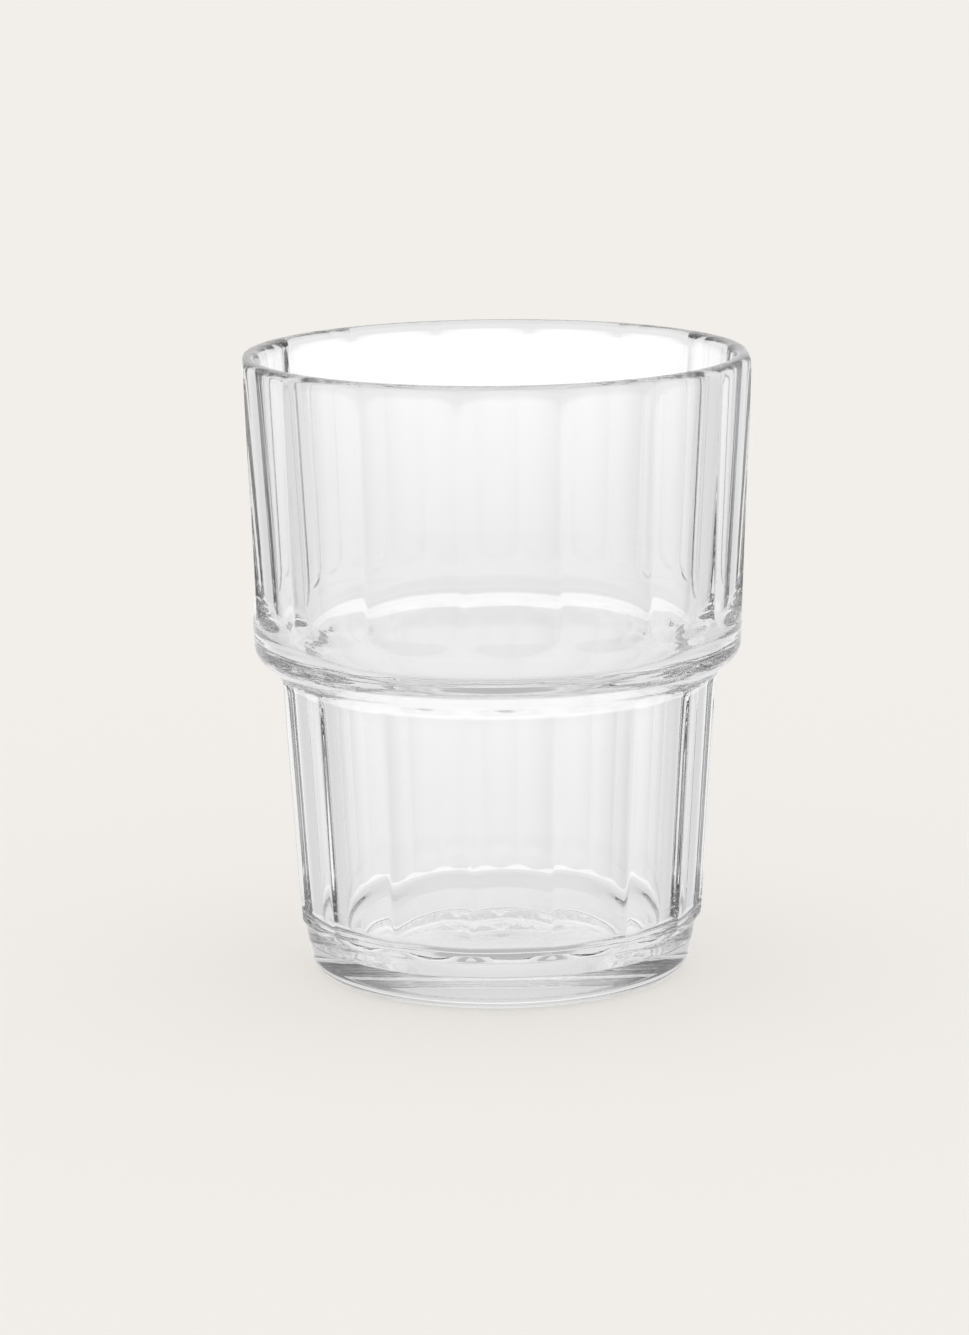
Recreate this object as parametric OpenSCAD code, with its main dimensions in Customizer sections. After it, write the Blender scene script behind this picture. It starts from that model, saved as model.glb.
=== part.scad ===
// Stacking tumbler for a short milk coffee.
// One piece of clear pressed glass: flat panels run round the outside of a wide upper wall
// and of a narrower lower wall, with a round shoulder between them. The inside is smooth and
// round, and the ledge behind the shoulder carries the foot of the next glass in a stack. The
// foot stands on z = 0, the axis of the glass is Z, and the middle of one panel faces -Y. All
// lengths are in millimetres.

/* [Rim] */
// Height of the whole glass
height = 88.5; // [78:0.1:98]
// Across the rim at the top, before its edges are rounded
rim_d = 72.3; // [68:0.1:78]
// Thickness of the fire-polished lip
lip_t = 2.7; // [2:0.1:3.4]

/* [Shoulder] */
// Height of the lower edge of the shoulder, before it is rounded
shoulder_h = 46.2; // [41:0.1:51]
// Across the shoulder, before its edge is rounded
shoulder_d = 68.9; // [64:0.1:74]
// How far the shoulder stands out from the ridges of the lower wall
shoulder_overhang = 3.3; // [2.6:0.05:4.2]
// How far the sloping underside of the shoulder drops to the lower wall
under_drop = 2.6; // [1.5:0.1:3.5]
// Radius on the lower edge of the shoulder
shoulder_edge_r = 3; // [1.5:0.1:3.5]
// Fillet between the underside of the shoulder and the lower wall
neck_fillet_r = 2; // [0.8:0.1:2.6]

/* [Lower wall] */
// How far the lower wall draws in from the shoulder to its lower end
lower_draft = 2.2; // [1:0.1:4]
// Height of the sloping step from the foot up to the lower wall
heel_rise = 1.2; // [0.6:0.1:2]
// How far the foot is set in from the lower wall
heel_step = 1; // [0.6:0.1:1.6]

/* [Foot] */
// Height of the round foot
foot_h = 7.3; // [5:0.1:10]
// How far the foot draws in from its top to the table
foot_draft = 1.3; // [0.5:0.1:2.5]
// Radius on the lower edge of the foot
foot_edge_r = 3; // [1.5:0.1:4]
// Width of the ring under the foot, before its edge is rounded
ring_w = 6.3; // [4.5:0.1:8]
// Depth of the shallow hollow inside that ring
hollow_depth = 0.3; // [0.1:0.1:1]

/* [Inside] */
// Thickness of the base from the table to the bottom of the well in the floor
floor_h = 4.2; // [3.4:0.1:6]
// Depth of that well
well_depth = 2.8; // [1.5:0.1:4]
// How far the side of the well draws in to its bottom
well_draft = 1.4; // [0.5:0.1:2.5]
// Radius on the upper and the lower edge of the well
well_edge_r = 0.5; // [0.2:0.1:0.8]
// Width of the sloping rim between the well and the lower bore
well_rim_w = 3.6; // [2.6:0.1:5]
// Rise of that rim from the well out to the lower bore
well_rim_rise = 1.4; // [0.6:0.1:2]
// Fillet between that rim and the lower bore
floor_fillet_r = 2; // [0.8:0.1:2.6]
// Wall behind the ridges at the lower end of the lower wall
heel_wall = 5; // [3.6:0.1:6]
// Wall behind the ridges at the top of the lower wall
neck_wall = 5.2; // [4:0.1:6]
// Wall behind the shoulder
shoulder_wall = 4.2; // [3.2:0.05:5]
// Height of the ledge's outer end above the lower edge of the shoulder
ledge_rise = 1.8; // [0.8:0.1:3]
// Drop of the ledge from its outer to its inner end
ledge_drop = 3.7; // [2.6:0.1:4.5]
// Fillet where the upper bore runs into the ledge
ledge_fillet_r = 5.4; // [2:0.1:6.5]
// Radius on the inner end of the ledge
ledge_edge_r = 4; // [1:0.1:5]

/* [Panels] */
// Number of panels round the glass
panel_count = 16; // [12:1:20]
// Width of the round ridge left between two panels
ridge_w = 1; // [0.4:0.1:2]
// Height above the lower edge of the shoulder at which the upper panels run out
arch_rise = 5.1; // [4:0.1:8]
// Radius of the sweep that ends the upper panels
arch_sweep_r = 6; // [3:0.1:9]
// Gap between the sloping top of the lower panels and the underside of the shoulder
neck_gap = 0.1; // [0.05:0.05:0.5]

/* [Hidden] */
// Straight pieces in each arc, and facets of the round walls
arc_steps = 8;
$fn = 128;
// How far the panel cuts run past the glass
overrun = 2;

// Radii, from the rim down to the table
rim_r = rim_d / 2;
shoulder_r = shoulder_d / 2;
neck_r = shoulder_r - shoulder_overhang;
heel_r = neck_r - lower_draft;
foot_r = heel_r - heel_step;
base_r = foot_r - foot_draft;
hollow_r = base_r - ring_w;
bore_r = heel_r - heel_wall;
well_r = bore_r - well_rim_w;

// Heights that follow the foot and the shoulder
heel_h = foot_h + heel_rise;
well_h = floor_h + well_depth;
neck_h = shoulder_h - under_drop;
ledge_h = shoulder_h + ledge_rise;
arch_h = shoulder_h + arch_rise;

// The underside of the shoulder, whose length its two roundings share
under_slope = under_drop / shoulder_overhang;
under_len = norm([shoulder_overhang, under_drop]);
round_limit = under_len / tan((90 - atan(under_slope)) / 2);
edge_share = 0.5;
fillet_share = 0.4;
shoulder_edge = min(shoulder_edge_r, round_limit * edge_share);
neck_fillet = min(neck_fillet_r, round_limit * fillet_share);

// A panel lies at this share of the radius of the ridges beside it
ridge_half_angle = asin(ridge_w / shoulder_d);
panel_share = cos(180 / panel_count - ridge_half_angle);
panel_cut_w = 2 * rim_d * sin(180 / panel_count);

// The two straight slopes of the outside, each from its lower to its upper end
upper_slope = [[shoulder_r, shoulder_h], [rim_r, height]];
lower_slope = [[heel_r, heel_h], [neck_r, neck_h]];

// Radius of a slope at height z
function slope_r(slope, z) =
    slope[0].x + (slope[1].x - slope[0].x) * (z - slope[0].y) / (slope[1].y - slope[0].y);

// Distance of a panel's face from the axis at height z
function face_r(slope, z) = panel_share * slope_r(slope, z);

function unit(v) = v / norm(v);

// Arc of radius r that rounds the corner p between its neighbours a and b
function corner_arc(a, p, b, r) =
    let (to_a = unit(a - p))
    let (to_b = unit(b - p))
    let (half = acos(to_a * to_b) / 2)
    let (centre = p + unit(to_a + to_b) * r / sin(half))
    let (start = p + to_a * r / tan(half) - centre)
    let (turn = sign(cross(p - a, b - p)) * (180 - 2 * half))
    [for (i = [0 : arc_steps])
        let (angle = turn * i / arc_steps)
        centre + [start.x * cos(angle) - start.y * sin(angle), start.x * sin(angle) + start.y * cos(angle)]];

function flat(p) = [p[0], p[1]];

// Closed outline through corners [r, z, radius], each rounded by its own radius
function rounded(corners) =
    let (n = len(corners))
    [for (i = [0 : n - 1])
        let (p = corners[i])
        each p[2] == 0
            ? [flat(p)]
            : corner_arc(flat(corners[(i + n - 1) % n]), flat(p), flat(corners[(i + 1) % n]), p[2])];

// Shallow dish under the base, from the axis out to the ring that the glass stands on
function hollow_points() =
    [for (i = [0 : arc_steps - 1])
        let (out_share = i / arc_steps)
        [hollow_r * out_share, hollow_depth * (1 - out_share * out_share), 0]];

// Half section of the glass before the panels are pressed into it: foot, lower wall,
// shoulder, upper wall, lip, then down the inside to the well in the floor
module half_section() {
    polygon(rounded(concat(hollow_points(), [
        [hollow_r, 0, 0],
        [base_r, 0, foot_edge_r],
        [foot_r, foot_h, 0],
        [heel_r, heel_h, 0],
        [neck_r, neck_h, neck_fillet],
        [shoulder_r, shoulder_h, shoulder_edge],
        [rim_r, height, lip_t / 2],
        [rim_r - lip_t, height, lip_t / 2],
        [shoulder_r - shoulder_wall, ledge_h, ledge_fillet_r],
        [neck_r - neck_wall, ledge_h - ledge_drop, ledge_edge_r],
        [bore_r, well_h + well_rim_rise, floor_fillet_r],
        [well_r, well_h, well_edge_r],
        [well_r - well_draft, floor_h, well_edge_r],
        [0, floor_h, 0],
    ])));
}

// What one upper panel takes away: its flat face runs up through the lip, and sweeps out
// at its lower end so that it dies away in an arch on the round shoulder
module upper_panel_section() {
    top = height + overrun;
    arch_depth = slope_r(upper_slope, arch_h) - face_r(upper_slope, arch_h);
    low = arch_h - arch_sweep_r + sqrt(arch_depth * (2 * arch_sweep_r - arch_depth));
    far = rim_r + 2 * arch_sweep_r;
    polygon(rounded([
        [face_r(upper_slope, low), low, arch_sweep_r],
        [far, low, 0],
        [far, top, 0],
        [face_r(upper_slope, top), top, 0],
    ]));
}

// Height of the lower panels' sloping top at distance r from the axis
function panel_top(r) = neck_h - neck_gap + (r - neck_r) * under_slope;

// What one lower panel takes away: its face ends on the step above the foot, and turns out
// along the underside of the shoulder with the same fillet as the ridges
module lower_panel_section() {
    inner = face_r(lower_slope, neck_h);
    far = shoulder_r + overrun;
    polygon(rounded([
        [face_r(lower_slope, foot_h), foot_h, 0],
        [far, foot_h, 0],
        [far, panel_top(far), 0],
        [inner, panel_top(inner), neck_fillet],
    ]));
}

// Repeats a panel's section round the glass, with the first panel facing -Y
module round_the_glass() {
    for (i = [0 : panel_count - 1])
        rotate([0, 0, i * 360 / panel_count - 90])
            rotate([90, 0, 0])
                linear_extrude(height = panel_cut_w, center = true)
                    children();
}

module tumbler() {
    color("#e4eae7", 0.5)
        difference() {
            rotate_extrude() half_section();
            round_the_glass() upper_panel_section();
            round_the_glass() lower_panel_section();
        }
}

tumbler();
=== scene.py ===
# %% [markdown]
# # A pressed stacking tumbler
# The real object is one piece of clear soda-lime glass, pressed between a mould and a plunger.
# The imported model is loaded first, because it fixes where everything is and how big it is:
# what follows only dresses it. All lengths below are in millimetres, as a mould maker writes
# them, and become metres when a mesh or a camera is made.

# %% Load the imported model
import math

import bpy
import numpy as np
from mathutils import Euler, Matrix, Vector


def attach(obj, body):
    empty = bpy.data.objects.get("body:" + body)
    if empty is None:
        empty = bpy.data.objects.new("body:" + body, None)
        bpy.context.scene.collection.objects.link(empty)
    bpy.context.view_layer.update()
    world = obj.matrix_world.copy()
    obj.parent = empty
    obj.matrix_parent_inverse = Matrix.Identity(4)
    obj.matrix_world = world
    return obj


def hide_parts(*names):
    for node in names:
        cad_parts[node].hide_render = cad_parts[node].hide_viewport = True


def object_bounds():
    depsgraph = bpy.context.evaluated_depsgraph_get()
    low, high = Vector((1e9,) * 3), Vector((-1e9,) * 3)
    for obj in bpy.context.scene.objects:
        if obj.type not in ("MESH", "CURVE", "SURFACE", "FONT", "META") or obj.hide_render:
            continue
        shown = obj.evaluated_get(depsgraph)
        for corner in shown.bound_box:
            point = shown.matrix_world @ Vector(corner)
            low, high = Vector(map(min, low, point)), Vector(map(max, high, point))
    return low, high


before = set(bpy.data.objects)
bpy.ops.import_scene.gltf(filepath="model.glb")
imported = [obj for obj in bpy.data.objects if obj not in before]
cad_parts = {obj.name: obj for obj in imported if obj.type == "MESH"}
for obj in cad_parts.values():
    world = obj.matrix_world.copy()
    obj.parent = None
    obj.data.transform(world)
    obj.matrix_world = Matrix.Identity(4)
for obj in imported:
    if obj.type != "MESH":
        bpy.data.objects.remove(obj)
cad_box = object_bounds()
scene = bpy.context.scene
MM = 0.001
height = (cad_box[1][2] - cad_box[0][2]) / MM
print(f"CAD box {np.round(np.array(cad_box) / MM, 2).tolist()} mm, nodes {list(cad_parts)}")

# %% [markdown]
# ## The camera
# The photograph looks a little down on the glass from the front, through a long lens. The
# camera is placed by what a photographer would note: how far away, how high, how far round.
# A long lens and a far camera keep the sides of the glass nearly parallel. The small shift
# puts the glass where it stands in the picture, and the small roll is the tilt of the tripod.

# %% Camera at the photograph's viewing angle
photo_wide, photo_high = 969, 1335
aim_height = 45.0
camera_distance = 706.0
camera_elevation = math.radians(11.2)
camera_turn = math.radians(-3.0)
camera_roll = math.radians(-0.55)
focal_pixels = 4982.0
aim_pixel_x, aim_pixel_y = 497.9, 655.7
sensor_height = 36.0
farthest_seen = 100000.0

camera_data = bpy.data.cameras.new("camera")
camera_data.sensor_fit = "VERTICAL"
camera_data.sensor_height = sensor_height
camera_data.lens = sensor_height * focal_pixels / photo_high
camera_data.shift_x = (photo_wide / 2 - aim_pixel_x) / photo_high
camera_data.shift_y = (aim_pixel_y - photo_high / 2) / photo_high
camera_data.clip_end = farthest_seen * MM
camera = bpy.data.objects.new("camera", camera_data)
scene.collection.objects.link(camera)
level = camera_distance * math.cos(camera_elevation)
camera.location = (
    level * math.sin(camera_turn) * MM,
    -level * math.cos(camera_turn) * MM,
    (aim_height + camera_distance * math.sin(camera_elevation)) * MM,
)
upright = Euler((math.pi / 2 - camera_elevation, 0.0, camera_turn)).to_matrix()
camera.rotation_euler = (upright @ Matrix.Rotation(camera_roll, 3, "Z")).to_euler()
scene.camera = camera
print(f"lens {camera_data.lens:.1f} mm, shift {camera_data.shift_x:.4f}, {camera_data.shift_y:.4f}")

# %% [markdown]
# ## The outline of the half section
# A pressed glass is a turned shape before the panels are pressed into it, so it starts as an
# outline to turn: a short list of corners, each with the radius that rounds it. The list runs
# from the middle of the underside out to the foot, up the outside to the lip, and down the
# inside to a shallow well in the floor. A curve with a Screw modifier would turn as well, but
# the panels need the radius of every point at hand. Rounding corners by rule, and not by
# drawing many points, keeps every arc tangent to its neighbours, which matters here: glass
# shows each kink as a bright line.

# %% Sizes of the outside
rim_d = 72.3
lip_t = 2.7
shoulder_h = 46.2
shoulder_d = 68.9
shoulder_overhang = 3.3
shoulder_edge = 3.0
under_drop = 2.6
neck_fillet = 2.0
lower_draft = 2.2
heel_rise = 1.2
heel_step = 1.0
foot_h = 7.3
foot_draft = 1.3
foot_edge = 3.0
ring_w = 6.3
hollow_depth = 0.3
crisp_edge = 0.5
print(f"glass {height:.1f} mm tall, {rim_d} mm across the rim, {shoulder_d} mm across the shoulder")

# %% Sizes of the inside
shoulder_wall = 4.2
ledge_rise = 1.8
ledge_drop = 3.7
ledge_fillet = 5.4
ledge_edge = 4.0
neck_wall = 5.2
heel_wall = 5.0
floor_fillet = 2.0
well_rim_w = 3.6
well_rim_rise = 1.4
well_depth = 2.8
well_draft = 1.4
well_edge = 0.35
floor_h = 4.2
print(f"walls from {shoulder_wall} to {neck_wall} mm behind the ridges, base {floor_h} mm thick")

# %% Corners of the outline
rim_r = rim_d / 2
shoulder_r = shoulder_d / 2
neck_r = shoulder_r - shoulder_overhang
heel_r = neck_r - lower_draft
foot_r = heel_r - heel_step
base_r = foot_r - foot_draft
bore_foot_r = heel_r - heel_wall
well_r = bore_foot_r - well_rim_w
neck_h = shoulder_h - under_drop
heel_h = foot_h + heel_rise
well_h = floor_h + well_depth
ledge_h = shoulder_h + ledge_rise

# Each corner is its radius from the axis, its height, and the radius that rounds it
corners = [
    (0.0, hollow_depth, 0.0),
    (base_r - ring_w, 0.0, crisp_edge),
    (base_r, 0.0, foot_edge),
    (foot_r, foot_h, crisp_edge),
    (heel_r, heel_h, crisp_edge),
    (neck_r, neck_h, neck_fillet),
    (shoulder_r, shoulder_h, shoulder_edge),
    (rim_r, height, lip_t / 2),
    (rim_r - lip_t, height, lip_t / 2),
    (shoulder_r - shoulder_wall, ledge_h, ledge_fillet),
    (neck_r - neck_wall, ledge_h - ledge_drop, ledge_edge),
    (bore_foot_r, well_h + well_rim_rise, floor_fillet),
    (well_r, well_h, well_edge),
    (well_r - well_draft, floor_h, well_edge),
    (0.0, floor_h, 0.0),
]
print(f"{len(corners)} corners, foot {2 * base_r:.1f} mm across at the table before it is rounded")


# %% Round the corners
def unit(v):
    """A vector divided by its own length."""
    return v / np.linalg.norm(v)


def corner_arc(a, p, b, radius, steps):
    """Points of the arc that rounds corner p between neighbours a and b.

    The centre lies on the line that halves the corner, at radius / sin(half angle) from it,
    and the first point is turned about the centre through 180 degrees less the corner's angle.
    """
    to_a, to_b = unit(a - p), unit(b - p)
    half = math.acos(to_a @ to_b) / 2
    centre = p + unit(to_a + to_b) * radius / math.sin(half)
    x, y = p + to_a * radius / math.tan(half) - centre
    side = np.sign((p - a)[0] * (b - p)[1] - (p - a)[1] * (b - p)[0])
    turn = side * (math.pi - 2 * half) * np.linspace(0.0, 1.0, steps + 1)
    cos, sin = np.cos(turn), np.sin(turn)
    return centre + np.stack([x * cos - y * sin, x * sin + y * cos], axis=1)


def rounded(corner_list, steps):
    """The outline with each corner replaced by its arc. The two ends, on the axis, stay sharp."""
    points = [np.array([c[:2]]) for c in corner_list]
    for i in range(1, len(corner_list) - 1):
        a, p, b = (np.array(c[:2]) for c in corner_list[i - 1 : i + 2])
        points[i] = corner_arc(a, p, b, corner_list[i][2], steps)
    return np.concatenate(points)


arc_steps = 8
arcs = rounded(corners, arc_steps)
print(f"outline of {len(arcs)} points, {len(corners) - 2} arcs")

# %% [markdown]
# ## Rows for the mesh
# The arcs have points enough, but the straight walls between them have none, and the panels
# need rows to bend on. Fine rows all over would be the simple way, and would cost too many
# triangles. So stations are set out along the outline's own length: every arc point, a coarse
# pitch for the walls, and fine pitches where the panels end: on the heel, under the shoulder,
# in the arches over it, and in the lip.

# %% Stations along the outline
arch_rise = 5.1
arch_h = shoulder_h + arch_rise
wall_pitch = 4.0
# Each span is its lower and its upper height on the outside, and the pitch of its rows
end_spans = [
    (foot_h, heel_h + 0.6, 0.1),
    (neck_h - 2.0, shoulder_h, 0.2),
    (arch_h - 6.0, arch_h + 3.0, 0.45),
    (height - 2.4, height, 0.1),
]

steps_along = np.linalg.norm(np.diff(arcs, axis=0), axis=1)
along = np.concatenate([[0.0], np.cumsum(steps_along)])
outside = np.arange(len(arcs)) <= arcs[:, 1].argmax()
fine = []
for low, high, pitch in end_spans:
    start, stop = np.interp([low, high], arcs[outside, 1], along[outside])
    fine.append(np.arange(start, stop, pitch))
coarse = np.arange(0.0, along[-1], wall_pitch)
# Stations that agree to a thousandth of a millimetre become one
stations = np.unique(np.round(np.concatenate([along, coarse, *fine]), 3))
round_r = np.interp(stations, along, arcs[:, 0])
z = np.interp(stations, along, arcs[:, 1])
top_row = int(z.argmax())
print(f"{len(z)} rows, {top_row} of them outside, outline {along[-1]:.0f} mm long")

# %% [markdown]
# ## The panels
# Sixteen flat panels run round both walls, with a narrow ridge of the turned shape left
# between each two. In the upright section a panel's face is a straight line at a fixed share of
# the ridges' radius. It sweeps outwards where the panel ends: over the shoulder in a wide arc,
# which leaves the arches, and under the shoulder in a small fillet. Cutting with sixteen boxes
# would also do, but a boolean leaves ragged triangles along the cuts, and clear glass shows them.

# %% Where the panels lie
panel_count = 16
ridge_w = 0.3
ridge_half_angle = math.asin(ridge_w / 2 / shoulder_r)
panel_share = math.cos(math.pi / panel_count - ridge_half_angle)
upper_slope = [(shoulder_r, shoulder_h), (rim_r, height)]
lower_slope = [(heel_r, heel_h), (neck_r, neck_h)]


def slope_r(slope, z):
    """Radius at height z on the straight line through the two points (radius, height) of a slope."""
    (r0, z0), (r1, z1) = slope
    return r0 + (r1 - r0) * (z - z0) / (z1 - z0)


print(f"{panel_count} panels, faces at {panel_share:.4f} of the radius of the ridges")

# %% Face of an upper panel, from its arch up to the rim
arch_sweep = 6.0
sweep_steps = 24
arch_depth = (1 - panel_share) * slope_r(upper_slope, arch_h)
arch_low = arch_h - arch_sweep + math.sqrt(arch_depth * (2 * arch_sweep - arch_depth))
upper_corner = np.array([panel_share * slope_r(upper_slope, arch_low), arch_low])
upper_far = upper_corner + [2 * arch_sweep, 0.0]
upper_top = np.array([panel_share * slope_r(upper_slope, height), height])
upper_sweep = corner_arc(upper_far, upper_corner, upper_top, arch_sweep, sweep_steps)
upper_face = np.concatenate([upper_sweep, [upper_top]])
print(f"upper faces {arch_depth:.2f} mm inside the ridges, run out {arch_h:.1f} mm up")

# %% Face of a lower panel, from the heel up along the underside of the shoulder
neck_gap = 0.1
neck_face_r = panel_share * neck_r
under_slope = under_drop / shoulder_overhang
lower_foot = np.array([panel_share * slope_r(lower_slope, foot_h), foot_h])
lower_corner = np.array([neck_face_r, neck_h - neck_gap + (neck_face_r - neck_r) * under_slope])
lower_far = lower_corner + np.array([1.0, under_slope]) * 2 * shoulder_overhang
lower_sweep = corner_arc(lower_foot, lower_corner, lower_far, neck_fillet, sweep_steps)
lower_face = np.concatenate([[lower_foot], lower_sweep, [lower_far]])
print(f"lower panels from {foot_h} mm up to {lower_corner[1]:.1f} mm, before the fillet")

# %% [markdown]
# ## Pressing and melting
# A flat face at distance d from the axis is, in polar form, r = d / cos(angle from the panel's
# middle), so pressing it into the turned shape is taking the smaller of two radii. A plain
# minimum would leave knife edges, and a pressed glass comes out of the fire with soft ones. So
# a smooth minimum melts the two together over a set depth: more on the heel, under the shoulder
# and in the fire-polished lip, and less along the ridges, which stay crisp.

# %% Melt depths
# Where there is no panel, its face stands far outside the glass
no_panel = 1000.0
# Heights on the outside, and the depth over which panel and round wall melt together there
melt_stops = [
    (heel_h + 1.0, 0.5),
    (heel_h + 5.0, 0.08),
    (neck_h - 5.0, 0.08),
    (neck_h - 1.0, 0.3),
    (shoulder_h, 0.3),
    (shoulder_h + 3.0, 0.06),
    (height - 2.8, 0.06),
    (height - 1.3, 0.5),
]
melt_heights, melts = zip(*melt_stops)


def face_distance(z):
    """Distance from the axis to the middle of a panel at height z, read off the two face outlines."""
    upper = np.interp(z, upper_face[:, 1], upper_face[:, 0], left=no_panel)
    lower = np.interp(z, lower_face[:, 1], lower_face[:, 0], left=no_panel, right=no_panel)
    return np.minimum(upper, lower)


def smooth_min(a, b, melt):
    """The smaller of a and b, less up to melt / 4 where they come within melt of each other."""
    near = np.clip(melt - np.abs(a - b), 0.0, None) / melt
    return np.minimum(a, b) - near**2 * melt / 4


print(f"face {face_distance(height):.2f} mm from the axis at the rim, melts up to {max(melts)} mm")

# %% Press the panels into the outside
# Few columns over the flat of a panel, and most of them close to its ridges
flat_half = math.radians(9.6)
ridge_half = math.pi / panel_count
flat_columns = 9
ridge_columns = 8
flat_angles = np.linspace(-flat_half, flat_half, flat_columns)
ridge_angles = np.linspace(flat_half, ridge_half, ridge_columns)[1:]
panel_angles = np.sort(np.concatenate([flat_angles, ridge_angles, -ridge_angles[:-1]]))
turns = 2 * math.pi * np.arange(panel_count) / panel_count
angle = (turns[:, None] + panel_angles).ravel()
from_middle = np.tile(panel_angles, panel_count)

radius = np.repeat(round_r[:, None], len(angle), axis=1)
face = face_distance(z[:top_row])[:, None] / np.cos(from_middle)
melt = np.interp(z[:top_row], melt_heights, melts)[:, None]
radius[:top_row] = smooth_min(radius[:top_row], face, melt)
print(f"{len(angle)} columns by {len(z)} rows")

# %% [markdown]
# ## From grid to mesh
# The rows and columns make a grid of four-sided faces that closes on itself round the glass.
# The first and the last row are on the axis, where all columns meet, so each is one point
# with a fan of triangles. Working on whole arrays keeps this quick, and `from_pydata` puts
# the lot into the mesh in one call.


# %% Build the tumbler's mesh
def turned_mesh(name, radius, z, angle):
    """A closed surface from radius[row, column] at height z[row] and angle[column].

    The point at angle a lies at (r sin a, -r cos a), so angle 0 faces -Y. The end rows are
    single points on the axis.
    """
    rows, columns = radius.shape
    heights = np.repeat(z[:, None], columns, axis=1)
    grid = np.stack([radius * np.sin(angle), -radius * np.cos(angle), heights], axis=2)
    ring_points = grid[1:-1].reshape(-1, 3)
    ends = np.array([[0.0, 0.0, z[0]], [0.0, 0.0, z[-1]]])
    points = np.concatenate([ring_points, ends]) * MM
    here = np.arange(columns)
    after = (here + 1) % columns
    # The rings are all rows but the two ends, and there is one gap fewer than rings
    gaps = rows - 3
    row = np.arange(gaps)[:, None] * columns
    quads = np.stack([row + here, row + after, row + columns + after, row + columns + here], axis=2)
    first, last = len(ring_points), len(ring_points) + 1
    end_row = gaps * columns
    first_fan = np.stack([np.full(columns, first), after, here], axis=1)
    last_fan = np.stack([end_row + here, end_row + after, np.full(columns, last)], axis=1)
    faces = quads.reshape(-1, 4).tolist() + first_fan.tolist() + last_fan.tolist()
    mesh = bpy.data.meshes.new(name)
    mesh.from_pydata(points.tolist(), [], faces)
    mesh.shade_smooth()
    return mesh


tumbler = bpy.data.objects.new("tumbler_glass", turned_mesh("tumbler_glass", radius, z, angle))
scene.collection.objects.link(tumbler)
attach(tumbler, "root")
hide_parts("tumbler")
triangles = sum(len(p.vertices) - 2 for p in tumbler.data.polygons)
print(f"tumbler: {len(tumbler.data.vertices)} points, {triangles} triangles")

# %% [markdown]
# ## Pressed soda-lime glass
# Soda-lime glass bends light by an index of about 1.52 and is nearly colourless: what the eye
# sees is its surroundings, bent. The making leaves its mark too. The chill of the mould gives
# the surface a faint, slow waviness, a tenth of a degree or so, which breaks up the
# reflections. A Glass shader would bend light as well, but an exported model keeps the
# Principled one, so that is used, with full transmission and a soft bump for the waves.


# %% Helpers for materials
def linear(hex_colour):
    """An sRGB hex colour as linear red, green, blue and alpha 1."""
    srgb = np.array([int(hex_colour[i : i + 2], 16) for i in (1, 3, 5)]) / 255
    return (*np.where(srgb <= 0.04045, srgb / 12.92, ((srgb + 0.055) / 1.055) ** 2.4), 1.0)


def add(tree, kind, links=None, inputs=None, **settings):
    """Adds a node: settings are its properties, inputs its fixed values, links its joined sockets."""
    node = tree.nodes.new(kind)
    for key, value in settings.items():
        setattr(node, key, value)
    for key, value in (inputs or {}).items():
        node.inputs[key].default_value = value
    for key, source in (links or {}).items():
        tree.links.new(source, node.inputs[key])
    return node


print(f"middle grey #808080 is {linear('#808080')[0]:.3f} in linear light")

# %% Clear pressed glass
glass = bpy.data.materials.new("pressed_soda_lime_glass")
glass.use_nodes = True
t = glass.node_tree
t.nodes.clear()
wave_size = 9.0
wave_depth = 0.006
place = add(t, "ShaderNodeTexCoord").outputs["Object"]
wave_inputs = {"Scale": 1 / (wave_size * MM), "Detail": 1.0}
waves = add(t, "ShaderNodeTexNoise", {"Vector": place}, wave_inputs).outputs[0]
bump_inputs = {"Strength": 1.0, "Distance": wave_depth * MM}
wavy = add(t, "ShaderNodeBump", {"Height": waves}, bump_inputs).outputs[0]
shader = add(t, "ShaderNodeBsdfPrincipled", {"Normal": wavy}, {
    "Base Color": linear("#FCFCFC"),
    "Roughness": 0.0,
    "IOR": 1.52,
    "Transmission Weight": 1.0,
})
add(t, "ShaderNodeOutputMaterial", {"Surface": shader.outputs[0]})
tumbler.data.materials.append(glass)
print(f"{glass.name}: {len(t.nodes)} nodes, waves {wave_size:.0f} mm long and {wave_depth} mm deep")

# %% [markdown]
# ## The floor
# The glass stands on pale paper. Paper that is seen through glass, or mirrored in it, is lit
# by a studio that this scene doesn't build, so the floor steps aside for such rays and lets
# them run on into the world, which holds the studio. For all other rays it is plain matt paper,
# and it keeps the shadow of the glass. To the camera, part of its colour is a glow of its own,
# which keeps the paper as pale as the backdrop and the shadow faint.

# %% Pale paper floor
floor_r = 12000.0
floor_sides = 96
bearings = np.linspace(0.0, 2 * math.pi, floor_sides, endpoint=False)
disc = floor_r * MM * np.stack([np.cos(bearings), np.sin(bearings), np.zeros(floor_sides)], axis=1)
floor_mesh = bpy.data.meshes.new("floor")
floor_mesh.from_pydata(disc.tolist(), [], [list(range(floor_sides))])
floor = bpy.data.objects.new("floor", floor_mesh)
scene.collection.objects.link(floor)
print(f"floor {2 * floor_r * MM:.0f} m across")

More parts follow.
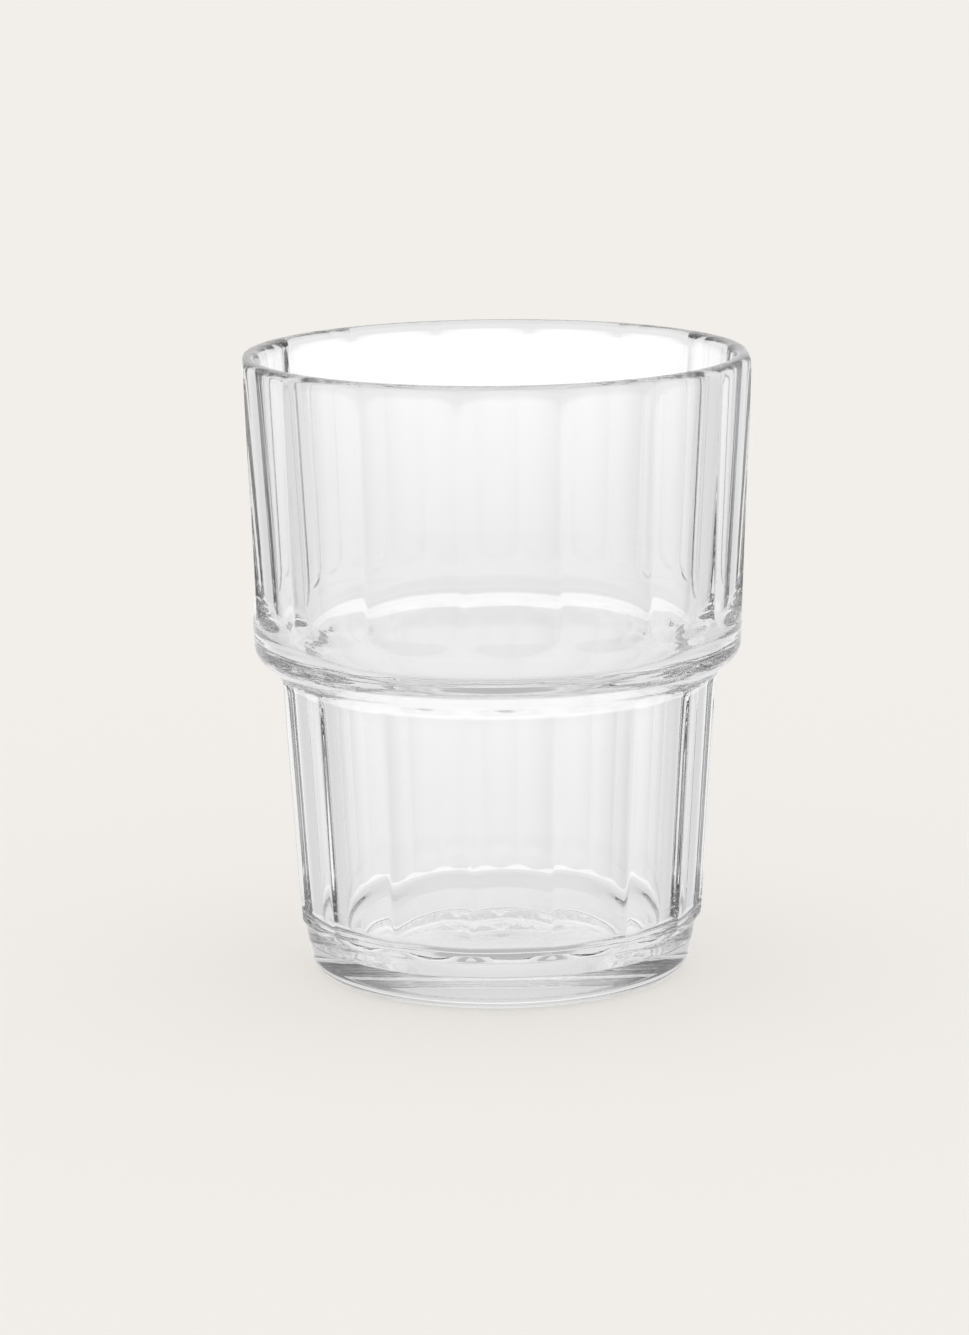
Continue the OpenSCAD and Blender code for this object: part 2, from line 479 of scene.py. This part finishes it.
# %% Matt paper
paper_colour = linear("#F2EFEA")
glow_share = 0.6
paper = bpy.data.materials.new("pale_paper")
paper.use_nodes = True
t = paper.node_tree
t.nodes.clear()
path = add(t, "ShaderNodeLightPath").outputs
glass_rays = {0: path["Is Transmission Ray"], 1: path["Is Glossy Ray"]}
by_glass = add(t, "ShaderNodeMath", glass_rays, operation="MAXIMUM").outputs[0]
matt = add(t, "ShaderNodeBsdfDiffuse", inputs={"Color": paper_colour}).outputs[0]
glow = add(t, "ShaderNodeEmission", inputs={"Color": paper_colour}).outputs[0]
absent = add(t, "ShaderNodeBsdfTransparent").outputs[0]
glowing = add(t, "ShaderNodeMixShader", {1: matt, 2: glow}, {0: glow_share}).outputs[0]
solid = add(t, "ShaderNodeMixShader", {0: path["Is Camera Ray"], 1: matt, 2: glowing}).outputs[0]
either = add(t, "ShaderNodeMixShader", {0: by_glass, 1: solid, 2: absent}).outputs[0]
add(t, "ShaderNodeOutputMaterial", {"Surface": either})
floor.data.materials.append(paper)
print(f"{paper.name}: {len(t.nodes)} nodes, {glow_share:.0%} glow to the camera")

# %% [markdown]
# ## The studio
# Clear glass has no colour of its own to show, so a photographer draws it with what stands
# round it: the sides of a glass bend the view so far that they show the edges of the backdrop
# and the room beside it. Cards and lamps would do that here too, but each would have to be kept
# out of the picture. So the world holds the studio as a brightness for each direction, in belts
# stacked by height: the shade under the glass, the table, its far part, a strip beyond it, a
# bright line all round where table and backdrop meet, the backdrop, greyer low down, and a pale
# ceiling. Above that line the room behind the camera is dark. Each belt is a ramp of grey from
# straight behind the glass round to the camera, and belts melt into each other over a few degrees.

# %% Directions as height and as bearing from straight behind
studio_turn = math.radians(2.0)
world = bpy.data.worlds.new("studio")
scene.world = world
world.use_nodes = True
t = world.node_tree
t.nodes.clear()
direction = add(t, "ShaderNodeTexCoord").outputs["Generated"]
way = add(t, "ShaderNodeSeparateXYZ", {0: direction}).outputs
rise = add(t, "ShaderNodeMath", {0: way["Z"]}, operation="ARCSINE").outputs[0]
bearing = add(t, "ShaderNodeMath", {0: way["X"], 1: way["Y"]}, operation="ARCTAN2").outputs[0]
to_middle = {1: camera_turn + studio_turn}
centred = add(t, "ShaderNodeMath", {0: bearing}, to_middle, operation="ADD").outputs[0]
aside = add(t, "ShaderNodeMath", {0: centred}, {1: math.pi}, operation="PINGPONG").outputs[0]
across = add(t, "ShaderNodeMapRange", {"Value": aside}, {1: 0.0, 2: math.pi}).outputs[0]
print(f"{len(t.nodes)} nodes for directions, studio turned {math.degrees(studio_turn):.0f} degrees")

# %% Belts of brightness
# Each belt is its name, the two heights in degrees between which it takes over from the belt
# below, and its grey at bearings in degrees from straight behind the glass. The lowest belt
# has none below it
belts = [
    ("shade", -90, -89, [(0, 0.50), (180, 0.50)]),
    ("table", -68, -58, [(0, 0.80), (60, 0.80), (135, 0.65)]),
    ("far table", -36, -27, [(0, 0.90), (40, 0.80), (90, 0.70), (150, 0.60)]),
    ("strip", -24, -19, [(0, 0.90), (40, 0.70), (90, 0.80), (150, 0.90)]),
    ("bright line", -13, -9, [(0, 1.10), (40, 0.90), (150, 0.95)]),
    ("low backdrop", 0, 5, [(0, 0.75), (40, 0.70), (85, 0.35), (110, 0.05)]),
    ("high backdrop", 30, 42, [(0, 0.90), (60, 1.00), (100, 0.20), (130, 0.05)]),
    ("ceiling", 58, 70, [(0, 0.95), (70, 0.90), (110, 0.15)]),
]
studio = None
for name, low, high, stops in belts:
    ramp = add(t, "ShaderNodeValToRGB", {0: across}, label=name)
    ramp.color_ramp.interpolation = "EASE"
    elements = ramp.color_ramp.elements
    while len(elements) < len(stops):
        elements.new(1.0)
    for element, (degrees, grey) in zip(elements, stops):
        element.position = degrees / 180
        element.color = (grey, grey, grey, 1.0)
    belt = ramp.outputs[0]
    limits = {1: math.radians(low), 2: math.radians(high)}
    above = add(t, "ShaderNodeMapRange", {"Value": rise}, limits, interpolation_type="SMOOTHSTEP")
    blend = {0: above.outputs[0], 6: belt if studio is None else studio, 7: belt}
    studio = add(t, "ShaderNodeMix", blend, data_type="RGBA").outputs[2]
print(f"{len(belts)} belts, {len(t.nodes)} nodes")

# %% [markdown]
# ## Who sees what
# The studio is for rays that the glass has bent or mirrored. Paper needs plain, even light, at
# which its colour renders about as it is written, so rays that have left the paper see white.
# The camera sees the colour of the paper wherever it looks past the floor. The Light Path node
# tells these rays apart.

# %% Split the rays
between_none_and_one = 0.5
path = add(t, "ShaderNodeLightPath").outputs
glass_rays = {0: path["Is Transmission Ray"], 1: path["Is Glossy Ray"]}
by_glass = add(t, "ShaderNodeMath", glass_rays, operation="MAXIMUM").outputs[0]
meetings, limit = {0: path["Diffuse Depth"]}, {1: between_none_and_one}
no_paper = add(t, "ShaderNodeMath", meetings, limit, operation="LESS_THAN").outputs[0]
shown = add(t, "ShaderNodeMath", {0: by_glass, 1: no_paper}, operation="MULTIPLY").outputs[0]
even = add(t, "ShaderNodeBackground", inputs={"Color": linear("#FFFFFF")}).outputs[0]
lit = add(t, "ShaderNodeBackground", {"Color": studio}).outputs[0]
plain = add(t, "ShaderNodeBackground", inputs={"Color": paper_colour}).outputs[0]
light = add(t, "ShaderNodeMixShader", {0: shown, 1: even, 2: lit}).outputs[0]
seen = add(t, "ShaderNodeMixShader", {0: path["Is Camera Ray"], 1: light, 2: plain}).outputs[0]
add(t, "ShaderNodeOutputWorld", {"Surface": seen})
print(f"{world.name}: {len(t.nodes)} nodes")

# %% [markdown]
# ## Light paths
# A ray meets four surfaces on its way through a glass, and more where it is trapped between
# two walls. Each meeting is a bounce, so the bounce limits go well above their defaults, or
# the thick foot would turn black.

# %% View and light bounces
scene.view_settings.view_transform = "Standard"
scene.cycles.max_bounces = 24
scene.cycles.transmission_bounces = 24
scene.cycles.glossy_bounces = 16
print(f"{scene.cycles.max_bounces} bounces, view {scene.view_settings.view_transform}")
